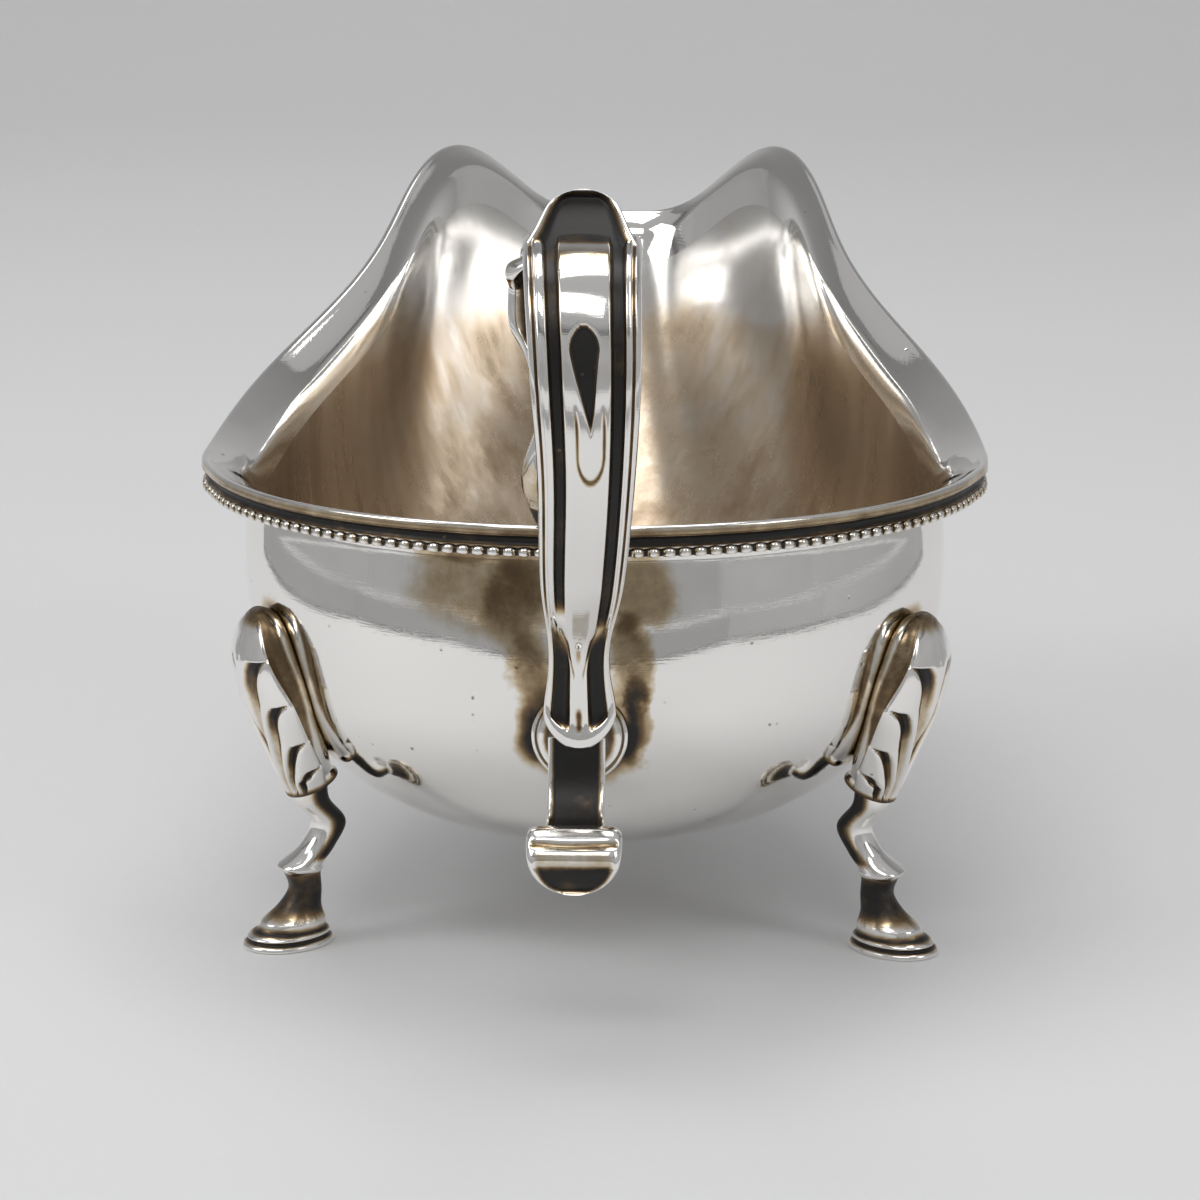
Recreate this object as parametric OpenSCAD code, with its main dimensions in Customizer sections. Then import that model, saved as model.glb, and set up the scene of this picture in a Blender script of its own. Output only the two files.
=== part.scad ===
// Small silver sauce boat: raised bowl with a beaded border, double scroll handle
// and three shell-and-hoof feet. Handle towards -Y, spout towards +Y.

/* [Rim] */
// Half width of the rim at its widest
rim_half_w = 38.8; // [32:0.1:47]
// Reach of the pouring lip in front of the widest place
spout_reach = 82; // [68:0.5:99]
// Reach of the rim behind the widest place
rear_reach = 38.5; // [32:0.5:47]
// Height of the rim at its widest place
rim_z = 46.6; // [40:0.2:56]
// Rise of the rim at the back
rear_rise = 0.7; // [0:0.1:2]
// Rise of the rim towards the spout
spout_rise = 29; // [24:0.5:35]
// How evenly the rise builds up: lower keeps the sides low for longer
rise_ease = 0.8; // [0.6:0.05:1.2]
// Dip of the pouring lip below the spout shoulders
lip_dip = 17.5; // [14:0.5:21]
// Share of the rim angle that the dip covers
dip_span = 0.41; // [0.34:0.01:0.5]
// How far the sides are pinched in behind the spout
pinch = 0.185; // [0.1:0.005:0.22]
// Where the pinch is deepest, as the cosine of the rim angle
pinch_at = 0.575; // [0.5:0.005:0.65]
// Length of the pinch on the same scale
pinch_span = 0.27; // [0.22:0.01:0.34]

/* [Bowl] */
// Thickness of the sheet
sheet = 0.9; // [0.7:0.05:1.1]
// Height of the bowl's lowest place above the table
bowl_z = 8.3; // [7:0.1:10]
// Where the lowest place lies in front of the widest place
bowl_mid_y = 4; // [0:0.5:8]
// Half width that sets the roundness of the floor
floor_half_w = 23; // [19:0.5:27]
// Length that sets the roundness of the floor in front
floor_front = 32; // [25:0.5:36]
// Length that sets the roundness of the floor behind
floor_rear = 25; // [20:0.5:29]
// Half width that sets the swell of the sides
swell_half_w = 37; // [32:0.5:45]
// Length that sets the swell in front
swell_front = 61; // [51:0.5:73]
// Length that sets the swell behind
swell_rear = 38; // [32:0.5:45]
// Height of the swell at the sides and the back
swell_z = 19; // [16:0.5:23]
// How much higher the swell lies in front
swell_front_rise = 8; // [6:0.5:10]
// Width of the turned-out flange under the rim
flange_w = 4.5; // [3.6:0.1:5.4]
// Width of the same flange at the pouring lip
lip_flange_w = 2.2; // [1.8:0.1:2.7]
// Height of the flange
flange_h = 4.4; // [3.6:0.1:5.3]

/* [Border] */
// Height of the plain cove moulding under the flange
cove_h = 1.1; // [0.9:0.05:1.3]
// Depth of the cove moulding from front to back
cove_d = 1.5; // [1.2:0.05:1.8]
// Height of a bead
bead_h = 0.95; // [0.8:0.05:1.15]
// Depth of the beaded wire from front to back
bead_d = 1.15; // [0.95:0.05:1.4]
// Spacing of the beads
bead_pitch = 1.45; // [1.2:0.05:1.75]
// How far the wire is notched between two beads
bead_notch = 0.35; // [0.25:0.05:0.45]

/* [Handle] */
// How far the handle stands out behind the rim
handle_reach = 19.4; // [16:0.2:24]
// Height of the top of the handle above the rim at the back
handle_rise = 28; // [23:0.5:34]
// Width of the outer strap at the top
strap_top_w = 10.3; // [8.6:0.1:12.4]
// How far the strap bows out to one side between its ends
strap_bow = 1.1; // [0.9:0.05:1.3]
// Width of the outer strap above its collar
strap_neck_w = 5.5; // [4.6:0.1:6.6]
// Width of the collar at the lower end of the strap
collar_w = 6.6; // [5.5:0.1:7.9]
// Thickness of the outer strap
strap_t = 2.6; // [2.1:0.1:3.1]
// Width of the inner scroll's leaf at the top
scroll_leaf_w = 9; // [7.5:0.1:10.8]
// Width of the inner scroll at its waist
scroll_waist_w = 4; // [3.3:0.1:4.8]
// Thickness of the inner scroll
scroll_t = 2.4; // [2:0.1:2.9]
// How far the inner scroll is set to one side
scroll_shift = 1.8; // [1.5:0.1:2.2]
// Height of the thumb leaf above the strap
leaf_h = 3.7; // [3.3:0.1:4.8]
// Width of the thumb leaf
leaf_w = 10.4; // [8.7:0.1:12.5]
// Thickness of the thumb leaf
leaf_t = 1.5; // [1.2:0.05:1.8]

/* [Lower end of the handle] */
// Height of the boss on the back of the bowl
boss_z = 26.6; // [24:0.2:29]
// How far the boss and the tail are set to the other side
boss_shift = 0.3; // [0.25:0.01:0.36]
// Diameter of the boss
boss_d = 9; // [7.5:0.1:10.8]
// How far the strap stands off the bowl at the boss
boss_stand_off = 6.2; // [5.2:0.1:7.4]
// Width of the tail strap
tail_w = 5.2; // [4.3:0.1:6.2]
// Thickness of the tail strap
tail_t = 1.2; // [1:0.05:1.4]
// Length of the tail below the boss
tail_drop = 6.6; // [5.5:0.1:7.9]
// Width of the rolled end
roll_w = 8.6; // [7.2:0.1:10.3]
// Height of the rolled end
roll_h = 5.4; // [4.5:0.1:6.4]

/* [Feet] */
// Angle of the back feet behind the widest line
rear_foot_angle = 28; // [23:1:34]
// How far a hoof stands out beyond the top of its leg
foot_splay = 2.5; // [2.1:0.1:3]
// Height of the leg's top, where the shell ends
knee_z = 16; // [14:0.2:18]
// Length of the shell
shell_l = 18.5; // [15.5:0.5:22]
// Width of the shell
shell_w = 12.4; // [10.4:0.1:14.8]
// Depth of the shell from front to back
shell_d = 7.8; // [6.6:0.1:9.3]
// Thickness of the leg
leg_t = 3.4; // [2.9:0.1:4]
// Width of the hoof
hoof_w = 6.8; // [5.7:0.1:8.2]
// Length of the hoof from heel to toe
hoof_l = 9.4; // [7.9:0.1:11.2]
// Thickness of the hoof's sole
sole_h = 1.1; // [0.9:0.1:1.3]

/* [Hidden] */
$fn = 48;
around = 96;
step = 360 / around;
wall_rows = [0.1, 0.24, 0.38, 0.5, 0.6, 0.7, 0.8, 0.9, 1, 1.25, 1.5, 1.75, 2];
bar_sides = 12;
shell_sides = 36;
silver = [0.80, 0.80, 0.79];
bright = [0.90, 0.89, 0.87];
dark = [0.42, 0.39, 0.35];

// --- Curves ---

function mix(a, b, t) = a + (b - a) * t;
function ease(t) = t <= 0 ? 0 : t >= 1 ? 1 : t * t * (3 - 2 * t);
function unit(v) = v / norm(v);
function bezier2(a, b, c, t) = mix(mix(a, b, t), mix(b, c, t), t);
function bezier3(a, b, c, d, t) = mix(bezier2(a, b, c, t), bezier2(b, c, d, t), t);
function through(a, b, c, d, t) = 0.5
    * (2 * b + (c - a) * t + (2 * a - 5 * b + 4 * c - d) * t * t + (3 * b - a - 3 * c + d) * t * t * t);

// Points of a smooth line through the stations, with count steps in each gap
function smooth_line(stations, count) = let (last = len(stations) - 1) concat(
    [for (i = [0:last - 1], j = [0:count - 1])
        through(stations[max(i - 1, 0)], stations[i], stations[i + 1],
            stations[min(i + 2, last)], j / count)],
    [stations[last]]);

// --- Rim: p is the angle round the rim, 0 at the pouring lip and 180 at the handle ---

function ahead(p) = max(cos(p), 0);
// Changes smoothly from the back's value to the front's beside the widest place
function back_to_front(back, front, p) = mix(back, front, ease((cos(p) + 0.3) / 0.6));
function rim_pinch(p) = 1 - pinch * exp(-pow((cos(p) - pinch_at) / pinch_span, 2));
function rim_height(p) = rim_z
    + spout_rise * (1 + rise_ease) * pow(ahead(p), 2) / (ahead(p) + rise_ease)
    - (cos(p) > 0 ? lip_dip * exp(-pow(abs(sin(p)) / dip_span, 3)) : -rear_rise * pow(cos(p), 2));
function rim_point(p) = [
    rim_half_w * sin(p) * rim_pinch(p),
    back_to_front(rear_reach, spout_reach, p) * cos(p),
    rim_height(p)];
function rim_out(p) = let (along = rim_point(p + 0.1) - rim_point(p - 0.1)) unit([-along[1], along[0], 0]);

// A place near the rim: out is measured away from the bowl, up above the rim's top
function by_rim(p, out, up) = rim_point(p) + out * rim_out(p) + [0, 0, up];

// --- Wall of the bowl: u is 0 at the lowest place, 1 at the neck and 2 at the rim ---

function flange_width(p) = mix(flange_w, lip_flange_w, ease(cos(p) / 0.8));
function neck_point(p) = by_rim(p, -flange_width(p), -flange_h);
function body_point(t, p) = bezier3(
    [0, bowl_mid_y, bowl_z],
    [floor_half_w * sin(p), back_to_front(floor_rear, floor_front, p) * cos(p), bowl_z],
    [swell_half_w * sin(p), back_to_front(swell_rear, swell_front, p) * cos(p),
        swell_z + swell_front_rise * pow(ahead(p), 2)],
    neck_point(p), t);
function flange_point(t, p) = let (w = flange_width(p)) bezier2(
    neck_point(p), by_rim(p, -w, -0.5 * flange_h), by_rim(p, -0.2, -sheet), t);
function wall_point(u, p) = u < 1 ? body_point(u, p) : flange_point(u - 1, p);
function wall_normal(u, p) = unit(cross(
    wall_point(min(u + 0.01, 2), p) - wall_point(max(u - 0.01, 0), p),
    wall_point(u, p + 0.2) - wall_point(u, p - 0.2)));
function wall_ring(u, depth) = [for (i = [0:around - 1]) let (p = i * step)
    wall_point(u, p) - (depth == 0 ? [0, 0, 0] : depth * wall_normal(u, p))];

// Height and distance of the bowl's outside on one side, for what is fixed to it
function wall_table(p) = [for (u = [0.2:0.02:1]) let (w = wall_point(u, p)) [w[2], norm([w[0], w[1]])]];
function wall_distance(p, z) = lookup(z, wall_table(p));

// --- Solids ---

// Closed skin over a list of rings with the same number of points; a loop joins last to first
module skin(rings, loop = false) {
    n = len(rings[0]);
    m = len(rings);
    caps = loop ? [] : [centre(rings[0]), centre(rings[m - 1])];
    sides = [for (j = [0:(loop ? m - 1 : m - 2)], i = [0:n - 1]) let (
        a = j * n + i,
        b = j * n + (i + 1) % n,
        c = ((j + 1) % m) * n + (i + 1) % n,
        d = ((j + 1) % m) * n + i) each [[a, b, c], [a, c, d]]];
    ends = loop ? [] : concat(
        [for (i = [0:n - 1]) [n * m, (i + 1) % n, i]],
        [for (i = [0:n - 1]) [n * m + 1, (m - 1) * n + i, (m - 1) * n + (i + 1) % n]]);
    polyhedron(concat([for (r = rings) each r], caps), concat(sides, ends));
}
function centre(points) = [for (k = [0:2]) total([for (q = points) q[k]]) / len(points)];
function total(v, i = 0) = i < len(v) ? v[i] + total(v, i + 1) : 0;

// Bar bent in the YZ plane; each station is [y, z, width, thickness, x]
function heading(line, i) = let (last = len(line) - 1, d = line[min(i + 1, last)] - line[max(i - 1, 0)])
    unit([d[0], d[1]]);
function bar_ring(q, h, sides) = [for (k = [0:sides - 1]) let (
    a = k * 360 / sides,
    side = 0.5 * q[2] * sign(cos(a)) * pow(abs(cos(a)), 0.75),
    face = 0.5 * q[3] * sign(sin(a)) * pow(abs(sin(a)), 0.75))
    [side + q[4], q[0] - face * h[1], q[1] + face * h[0]]];
module bent_bar(stations, count) {
    line = smooth_line(stations, count);
    skin([for (i = [0:len(line) - 1]) bar_ring(line[i], heading(line, i), bar_sides)]);
}

// Everything is drawn with the widest place of the rim at y = 0 and then moved, so that the
// middle of the whole length lies over the origin
length_front = spout_reach;
length_back = rear_reach + handle_reach;
module placed() {
    translate([0, (length_back - length_front) / 2, 0]) children();
}

// --- Bowl ---

module bowl_outside() {
    skin([for (u = wall_rows) wall_ring(u, 0)]);
}

module bowl_solid() {
    outside = [for (u = wall_rows) wall_ring(u, 0)];
    inside = [for (k = [len(wall_rows) - 1:-1:0]) wall_ring(wall_rows[k], sheet)];
    skin(concat(outside, inside));
}
module bowl() {
    color(silver) placed() bowl_solid();
}

// --- Border: two wires under the edge of the flange ---

// Corners of a wire at one place of the rim, from [out, up] pairs
function wire_ring(p, corners) = [for (q = corners) by_rim(p, q[0], q[1])];
border_out = -0.3;
cove_top = -sheet - 0.05;
cove_bottom = cove_top - cove_h;
cove_in = border_out - cove_d;

module cove_moulding() {
    color(dark) placed() skin([for (i = [0:around - 1]) let (
        p = i * step,
        under = flange_point(0.75, p),
        edge = flange_point(1, p))
        concat([edge], wire_ring(p, [
            [border_out - 0.45, cove_top - 0.4 * cove_h],
            [border_out - 0.35, cove_bottom],
            [cove_in, cove_bottom]]), [under])], loop = true);
}

rim_line = [for (i = [0:around]) by_rim(i * step, border_out, cove_bottom)];
function rim_gap(i) = i < around ? norm(rim_line[i + 1] - rim_line[i]) : 0;
rim_lengths = [for (i = 0, s = 0; i <= around; s = s + rim_gap(i), i = i + 1) s];
rim_length = rim_lengths[around];
bead_count = round(rim_length / bead_pitch);
rim_index = [for (i = [0:around]) [rim_lengths[i], i]];

// Place on the straight pieces between the stations, so that the wires lie against each other
function wire_place(f, out, up) = let (i = min(floor(f), around - 1)) mix(
    by_rim(i * step, out, up), by_rim((i + 1) * step, out, up), f - i);

module bead_border() {
    color(bright) placed() skin([for (k = [0:2 * bead_count - 1]) let (
        f = lookup(k * rim_length / (2 * bead_count), rim_index),
        notch = k % 2 == 0 ? 0 : bead_notch,
        face = border_out + 0.3 - notch,
        back = border_out + 0.3 - bead_d)
        [wire_place(f, border_out - 0.35, cove_bottom),
         wire_place(f, face, cove_bottom - 0.15 - notch / 2),
         wire_place(f, face, cove_bottom - bead_h + 0.15 + notch / 2),
         wire_place(f, back + 0.25, cove_bottom - bead_h),
         wire_place(f, back, cove_bottom)]], loop = true);
}

// --- Handle ---

back_y = -rear_reach;
back_z = rim_z + rear_rise;
top_z = back_z + handle_rise;
far_y = back_y - handle_reach + strap_t / 2;
boss_y = -wall_distance(180, boss_z);
strap_end_y = boss_y - boss_stand_off - strap_t / 2;
strap_end_z = boss_z + 1.6;

// Stations of the outer strap from its top to the collar
strap_line = [
    [mix(back_y, far_y, 0.16), top_z - strap_t / 2 - 2.2, strap_top_w * 0.92, strap_t, strap_bow * 0.35],
    [mix(back_y, far_y, 0.48), top_z - strap_t / 2, strap_top_w, strap_t, strap_bow * 0.45],
    [mix(back_y, far_y, 0.84), mix(back_z, top_z, 0.87), strap_top_w * 0.97, strap_t, strap_bow * 0.7],
    [far_y, mix(back_z, top_z, 0.62), strap_top_w * 0.92, strap_t, strap_bow],
    [mix(back_y, far_y, 0.88), mix(back_z, top_z, 0.3), strap_top_w * 0.82, strap_t, strap_bow],
    [mix(strap_end_y, far_y, 0.45), mix(strap_end_z, back_z, 0.88), mix(strap_neck_w, strap_top_w, 0.42),
        strap_t, strap_bow * 0.45],
    [mix(strap_end_y, far_y, 0.12), mix(strap_end_z, back_z, 0.46), strap_neck_w, strap_t, 0],
    [strap_end_y, strap_end_z, collar_w, strap_t * 1.1, 0]];
module strap_solid() {
    bent_bar(strap_line, 5);
}
module handle_strap() {
    color(silver) placed() strap_solid();
}

// The inner scroll hangs from the strap's top and stands on the rim
scroll_line = [
    [strap_line[0][0] - 2.2, strap_line[0][1] - 0.4, scroll_leaf_w, scroll_t, -scroll_shift],
    [strap_line[0][0] + 0.9, mix(back_z, top_z, 0.8), scroll_leaf_w, scroll_t, -scroll_shift],
    [mix(back_y, far_y, 0.12), mix(back_z, top_z, 0.67), scroll_leaf_w * 0.98, scroll_t, -scroll_shift],
    [mix(back_y, far_y, 0.16), mix(back_z, top_z, 0.56), scroll_leaf_w * 0.64, scroll_t, -scroll_shift],
    [mix(back_y, far_y, 0.2), mix(back_z, top_z, 0.38), scroll_waist_w, scroll_t, -scroll_shift],
    [mix(back_y, far_y, 0.14), mix(back_z, top_z, 0.2), scroll_waist_w * 1.7, scroll_t * 1.5, -scroll_shift],
    [back_y - 0.4, mix(back_z, top_z, 0.08), scroll_waist_w * 1.4, scroll_t * 1.2, -scroll_shift],
    [back_y + 1.2, back_z - 0.6, scroll_waist_w * 0.9, scroll_t, -scroll_shift]];
module inner_scroll() {
    color(dark) placed() difference() {
        bent_bar(scroll_line, 5);
        strap_solid();
        bowl_solid();
    }
}

// The leaf stands on the strap's top, leaning forward
leaf_x = strap_line[1][4];
leaf_line = [
    [strap_line[1][0] - 1.2, top_z - strap_t * 0.5, leaf_w * 0.7, leaf_t, leaf_x],
    [strap_line[1][0] - 0.2, top_z, leaf_w * 0.9, leaf_t, leaf_x],
    [strap_line[1][0] + 1.6, top_z + 0.55 * leaf_h, leaf_w * 0.56, leaf_t, leaf_x],
    [strap_line[1][0] + 2.6, top_z + leaf_h - leaf_t / 4, leaf_w * 0.24, leaf_t * 0.8, leaf_x]];
module thumb_leaf() {
    color(dark) placed() difference() {
        bent_bar(leaf_line, 4);
        strap_solid();
    }
}

// Domed boss with a short stem, cut to the bowl behind and to the strap in front
boss_root = 2;
boss_l = boss_root + boss_stand_off + 0.3;
module handle_boss() {
    color(bright) placed() difference() {
        translate([-boss_shift, boss_y + boss_root, boss_z]) rotate([90, 0, 0]) rotate_extrude()
            polygon([[0, 0], [boss_d / 2, 0], [boss_d / 2, boss_root + 0.6],
                [boss_d / 2 - 0.5, boss_root + 1.5], [boss_d / 2 - 1.4, boss_root + 2.4],
                [boss_d / 2 - 2.2, boss_root + 3.4], [boss_d / 2 - 2.2, boss_l], [0, boss_l]]);
        strap_solid();
        bowl_outside();
    }
}

tail_line = [
    [strap_end_y + 0.3, strap_end_z + 0.6, tail_w, tail_t, -boss_shift],
    [strap_end_y - 0.1, boss_z - 0.3 * tail_drop, tail_w, tail_t, -boss_shift],
    [strap_end_y - 2.2, boss_z - 0.75 * tail_drop, tail_w, tail_t, -boss_shift],
    [strap_end_y - 5, boss_z - 0.9 * tail_drop, tail_w * 1.1, tail_t, -boss_shift]];
module tail_solid() {
    bent_bar(tail_line, 4);
}
module handle_tail() {
    color(dark) placed() difference() {
        tail_solid();
        strap_solid();
    }
}

roll_z = boss_z - 0.9 * tail_drop;
roll_line = [
    [strap_end_y - 3.4, roll_z - 0.6, roll_w * 0.94, 1.8, -boss_shift],
    [strap_end_y - 5.2, roll_z, roll_w, 2, -boss_shift],
    [strap_end_y - 6.7, roll_z - 0.24 * roll_h, roll_w * 0.99, 1.9, -boss_shift],
    [strap_end_y - 7, roll_z - 0.44 * roll_h, roll_w * 0.93, 1.8, -boss_shift],
    [strap_end_y - 6.9, roll_z - 0.63 * roll_h, roll_w * 0.77, 1.6, -boss_shift],
    [strap_end_y - 6.6, roll_z - 0.78 * roll_h, roll_w * 0.52, 1.3, -boss_shift],
    [strap_end_y - 6.3, roll_z - 0.87 * roll_h, roll_w * 0.24, 1, -boss_shift]];
module tail_roll() {
    color(bright) placed() difference() {
        bent_bar(roll_line, 4);
        tail_solid();
    }
}

// --- Feet: drawn with the radial direction along +Y, then turned round the bowl ---

// Rim angle towards a back foot
rear_foot_p = 180 - atan2(cos(rear_foot_angle) / swell_half_w, sin(rear_foot_angle) / swell_rear);

// Distance of a leg from the axis, and the lean that lays its shell along the bowl
function leg_distance(p) = wall_distance(p, knee_z + 1.5) + 0.95 * leg_t;
function shell_lean(p) = let (low = knee_z + 0.15 * shell_l, high = knee_z + 0.8 * shell_l)
    atan2(wall_distance(p, high) - wall_distance(p, low), high - low);

// Shell stations from its foot to its head, measured from the top of the leg
shell_line = [
    [-0.2, 0, shell_w * 0.44, shell_d * 0.7],
    [-0.4, shell_l * 0.12, shell_w * 0.6, shell_d * 0.78],
    [-0.9, shell_l * 0.34, shell_w * 0.82, shell_d * 0.88],
    [-1.5, shell_l * 0.58, shell_w, shell_d],
    [-1.9, shell_l * 0.8, shell_w * 0.9, shell_d * 0.85],
    [-2.4, shell_l * 0.94, shell_w * 0.6, shell_d * 0.5],
    [-2.5, shell_l, shell_w * 0.24, shell_d * 0.2]];
function fluted_ring(q, h) = [for (k = [0:shell_sides - 1]) let (
    a = k * 360 / shell_sides,
    swell = 1 - 0.05 * (1 - cos(9 * a)) * max(0, sin(-a)),
    side = 0.5 * q[2] * cos(a) * swell,
    face = 0.5 * q[3] * sin(a) * swell)
    [side, q[0] - face * h[1], q[1] + face * h[0]]];
module shell_solid(lean) {
    line = smooth_line(shell_line, 3);
    translate([0, 0, knee_z]) rotate([-lean, 0, 0])
        skin([for (i = [0:len(line) - 1]) fluted_ring(line[i], [0, 1])]);
}

// Leg stations from the knee to the hoof
leg_line = [
    [0, knee_z + 1, leg_t, leg_t, 0],
    [0, knee_z - 1.5, leg_t * 1.05, leg_t * 1.05, 0],
    [-1.8, knee_z * 0.75, leg_t, leg_t, 0],
    [-0.6, knee_z * 0.6, leg_t, leg_t, 0],
    [foot_splay * 0.5, knee_z * 0.48, leg_t * 1.2, leg_t * 1.25, 0],
    [foot_splay * 0.3, knee_z * 0.34, leg_t * 0.92, leg_t * 0.95, 0],
    [foot_splay * 0.7, knee_z * 0.2, leg_t * 1.35, leg_t * 1.5, 0],
    [foot_splay, sole_h, hoof_w * 0.86, hoof_l * 0.86, 0]];
function hoof_outline() = [for (k = [0:35]) let (a = k * 10)
    [hoof_w / 2 * cos(a) * (1 + 0.12 * sin(a)), hoof_l / 2 * sin(a)]];
module leg_solid() {
    translate([0, foot_splay, 0]) linear_extrude(sole_h) polygon(hoof_outline());
    line = smooth_line(leg_line, 3);
    skin([for (i = [0:len(line) - 1]) bar_ring(line[i], [0, -1], bar_sides)]);
}

// turn is measured from +Y, seen from above against the clock
module at_foot(turn, distance) {
    rotate([0, 0, turn]) translate([0, distance, 0]) children();
}
module shell(turn, p) {
    color(silver) placed() difference() {
        at_foot(turn, leg_distance(p)) difference() {
            shell_solid(shell_lean(p));
            leg_solid();
        }
        bowl_outside();
    }
}
module leg(turn, p) {
    color(silver) placed() at_foot(turn, leg_distance(p)) leg_solid();
}

rear_turn = 90 + rear_foot_angle;
module rear_left_shell() { shell(rear_turn, rear_foot_p); }
module rear_right_shell() { shell(-rear_turn, rear_foot_p); }
module front_shell() { shell(0, 0); }
module rear_left_leg() { leg(rear_turn, rear_foot_p); }
module rear_right_leg() { leg(-rear_turn, rear_foot_p); }
module front_leg() { leg(0, 0); }

bowl();
cove_moulding();
bead_border();
handle_strap();
inner_scroll();
thumb_leaf();
handle_boss();
handle_tail();
tail_roll();
rear_left_shell();
rear_right_shell();
front_shell();
rear_left_leg();
rear_right_leg();
front_leg();
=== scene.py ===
import math

import bmesh
import bpy
import numpy as np
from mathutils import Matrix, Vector
from mathutils.bvhtree import BVHTree
from mathutils.kdtree import KDTree


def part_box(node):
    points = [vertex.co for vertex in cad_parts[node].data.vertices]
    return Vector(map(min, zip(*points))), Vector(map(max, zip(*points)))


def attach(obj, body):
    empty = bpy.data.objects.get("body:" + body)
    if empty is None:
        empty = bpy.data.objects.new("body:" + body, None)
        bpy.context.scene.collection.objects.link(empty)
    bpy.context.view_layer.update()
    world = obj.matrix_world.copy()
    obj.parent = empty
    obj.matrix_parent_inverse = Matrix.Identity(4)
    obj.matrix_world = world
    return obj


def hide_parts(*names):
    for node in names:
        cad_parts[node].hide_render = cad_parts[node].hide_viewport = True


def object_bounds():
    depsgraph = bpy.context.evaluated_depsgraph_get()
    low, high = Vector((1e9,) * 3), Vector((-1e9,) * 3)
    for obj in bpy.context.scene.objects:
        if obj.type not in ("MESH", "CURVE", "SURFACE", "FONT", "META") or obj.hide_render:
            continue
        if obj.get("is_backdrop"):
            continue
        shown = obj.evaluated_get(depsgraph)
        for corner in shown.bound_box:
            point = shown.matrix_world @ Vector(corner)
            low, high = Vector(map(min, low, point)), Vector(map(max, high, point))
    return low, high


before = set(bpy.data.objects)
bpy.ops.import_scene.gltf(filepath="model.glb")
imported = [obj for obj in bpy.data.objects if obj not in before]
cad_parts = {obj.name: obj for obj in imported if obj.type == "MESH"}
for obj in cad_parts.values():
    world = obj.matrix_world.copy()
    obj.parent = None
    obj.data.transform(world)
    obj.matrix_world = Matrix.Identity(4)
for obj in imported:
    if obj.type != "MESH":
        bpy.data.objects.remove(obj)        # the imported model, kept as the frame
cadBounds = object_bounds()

mm = 0.001
print("frame loaded:", len(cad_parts), "nodes")


# curves and small sums, all in millimetres with the widest place of the rim at y = 0

def mix(a, b, t):
    return a + (b - a) * t


def ease(t):
    t = np.clip(t, 0, 1)
    return t * t * (3 - 2 * t)


def ramp(low, high, t):        # 0 below low, 1 above high
    return ease((np.asarray(t, float) - low) / (high - low))


def hump(t, middle, half):     # smooth 0..1 hump of the given half width
    return 1 - ramp(0, half, np.abs(np.asarray(t, float) - middle))


def roundAngles(count):
    return np.arange(count) / count * 2 * math.pi


def unit(v):
    return v / np.maximum(np.linalg.norm(v, axis=-1, keepdims=True), 1e-12)


def smoothLine(stations, count):   # Catmull-Rom through the stations
    q = np.asarray(stations, float)
    last = len(q) - 1
    rows = []
    for i in range(last):
        a, b, c, d = q[max(i - 1, 0)], q[i], q[i + 1], q[min(i + 2, last)]
        for t in np.arange(count) / count:
            rows.append(0.5 * (2 * b + (c - a) * t + (2 * a - 5 * b + 4 * c - d) * t ** 2
                               + (3 * b - a - 3 * c + d) * t ** 3))
    rows.append(q[last])
    return np.array(rows)


rim = {
    "halfWidth": 38.8, "spoutReach": 82.0, "rearReach": 38.5,
    "height": 46.6, "rearRise": 0.7, "spoutRise": 29.0, "riseEase": 0.8,
    "lipDip": 17.5, "dipSpan": 0.41,
    "pinch": 0.185, "pinchAt": 0.575, "pinchSpan": 0.27,
}
wall = {
    "sheet": 0.9, "lowZ": 8.3, "middleY": 4.0,
    "floorHalfWidth": 23.0, "floorFront": 32.0, "floorRear": 25.0,
    "swellHalfWidth": 37.0, "swellFront": 61.0, "swellRear": 38.0,
    "swellZ": 19.0, "swellFrontRise": 8.0,
    "flange": 4.5, "lipFlange": 2.2, "flangeHeight": 4.4,
}
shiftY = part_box("bowl")[1].y / mm - (rim["spoutReach"] - 0.2)   # work y to model y


def ahead(p):
    return np.maximum(np.cos(p), 0)


def backToFront(back, front, p):
    return mix(back, front, ease((np.cos(p) + 0.3) / 0.6))


def rimPoint(p):               # p is 0 at the pouring lip and pi at the handle
    c, s, a = np.cos(p), np.sin(p), ahead(p)
    pinch = 1 - rim["pinch"] * np.exp(-((c - rim["pinchAt"]) / rim["pinchSpan"]) ** 2)
    rise = rim["spoutRise"] * (1 + rim["riseEase"]) * a ** 2 / (a + rim["riseEase"])
    dip = rim["lipDip"] * np.exp(-(np.abs(s) / rim["dipSpan"]) ** 3)
    dip = np.where(c > 0, dip, -rim["rearRise"] * c ** 2)
    return np.stack([rim["halfWidth"] * s * pinch,
                     backToFront(rim["rearReach"], rim["spoutReach"], p) * c,
                     rim["height"] + rise - dip], -1)


def rimOut(p):
    along = rimPoint(p + 0.002) - rimPoint(p - 0.002)
    return unit(np.stack([-along[..., 1], along[..., 0], 0 * along[..., 0]], -1))


def byRim(p, out, up):         # out is away from the bowl, up is above the rim's top
    out = np.broadcast_to(out, np.shape(p))[..., None]
    up = np.broadcast_to(up, np.shape(p))[..., None]
    return rimPoint(p) + out * rimOut(p) + up * np.array([0, 0, 1.0])


def flangeWidth(p):
    return mix(wall["flange"], wall["lipFlange"], ease(np.cos(p) / 0.8))


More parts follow.
